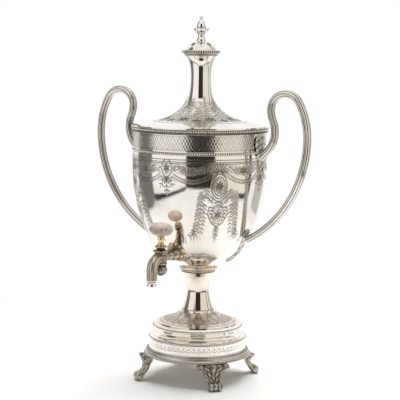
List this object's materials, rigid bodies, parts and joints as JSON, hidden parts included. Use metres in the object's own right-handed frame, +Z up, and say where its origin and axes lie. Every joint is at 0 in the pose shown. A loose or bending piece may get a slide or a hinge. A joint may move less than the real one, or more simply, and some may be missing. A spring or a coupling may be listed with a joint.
{
  "type": "tea urn samovar",
  "caption": "Footed vase-shaped tea urn with a lift-off lid, loop handles, a turn-key tap and an inner heater sleeve.",
  "frame": {"origin": "on the floor, on the axis of the bowl and stem, midway among the feet", "axes": "+Z up along the urn's axis; the tap points to -Y and the handles to -X and +X"},
  "size_m": [0.3296, 0.2292, 0.5],
  "materials": {
    "silver_plate": "polished silver plate, hand engraved, lightly worn",
    "cast_silver": "cast and plated, oxidised dark in its grooves",
    "worn_plate": "silver plate worn through to warm copper",
    "tinned_copper": "dull tinned copper sheet",
    "brass": "aged brass",
    "knob_bone": "mottled pinkish bone, polished",
    "leather": "greased sealing leather",
    "iron": "rough black iron"
  },
  "bodies": {
    "urn": {"base_moulding": "silver_plate", "base_moulding_bead": "silver_plate", "base_plate": "silver_plate", "lower_tier": "silver_plate", "lower_tier_bead": "silver_plate", "upper_tier": "silver_plate", "upper_tier_bead": "silver_plate", "foot_front_left": "cast_silver", "foot_front_right": "cast_silver", "foot_back_right": "cast_silver", "foot_back_left": "cast_silver", "foot_screws": "brass", "foot_nuts": "brass", "stem": "silver_plate", "stem_collar": "worn_plate", "stem_collar_bead": "silver_plate", "bowl": "silver_plate", "frieze_band": "silver_plate", "joint_moulding": "silver_plate", "joint_bead": "silver_plate", "rim_moulding": "silver_plate", "rim_bead": "silver_plate", "handle_right": "cast_silver", "handle_left": "cast_silver", "handle_leaf_right": "cast_silver", "handle_leaf_left": "cast_silver", "handle_tongue_right": "cast_silver", "handle_tongue_left": "cast_silver", "tap_escutcheon": "cast_silver", "tap_body": "cast_silver", "tap_spout_ring": "silver_plate", "tap_shank_washer": "leather", "tap_shank_nut": "brass", "heater_sleeve": "tinned_copper"},
    "lid": {"lid_shell": "silver_plate", "lid_bezel": "silver_plate", "lid_collar": "silver_plate", "lid_collar_bead": "silver_plate", "vent_cap": "silver_plate", "finial": "silver_plate", "finial_nut": "brass"},
    "tap_key": {"tap_plug": "cast_silver", "tap_key_neck": "brass", "tap_knob": "knob_bone", "tap_tail_washer": "leather", "tap_tail_nut": "cast_silver"},
    "cover": {"sleeve_cover": "tinned_copper", "sleeve_cover_knob": "tinned_copper"},
    "iron": {"heating_iron": "iron", "iron_eye": "iron"}
  },
  "joints": [
    {"name": "lid_lift", "type": "slide", "parent": "urn", "child": "lid", "axis": [0, 0, 1], "range_m": [0, 0.12]},
    {"name": "tap_turn", "type": "hinge", "parent": "urn", "child": "tap_key", "pos_m": [0, -0.105, 0.183], "axis": [0, 0, 1], "range_deg": [0, 90]},
    {"name": "cover_lift", "type": "slide", "parent": "urn", "child": "cover", "axis": [0, 0, 1], "range_m": [0, 0.03]},
    {"name": "iron_lift", "type": "slide", "parent": "urn", "child": "iron", "axis": [0, 0, 1], "range_m": [0, 0.028]}
  ]
}
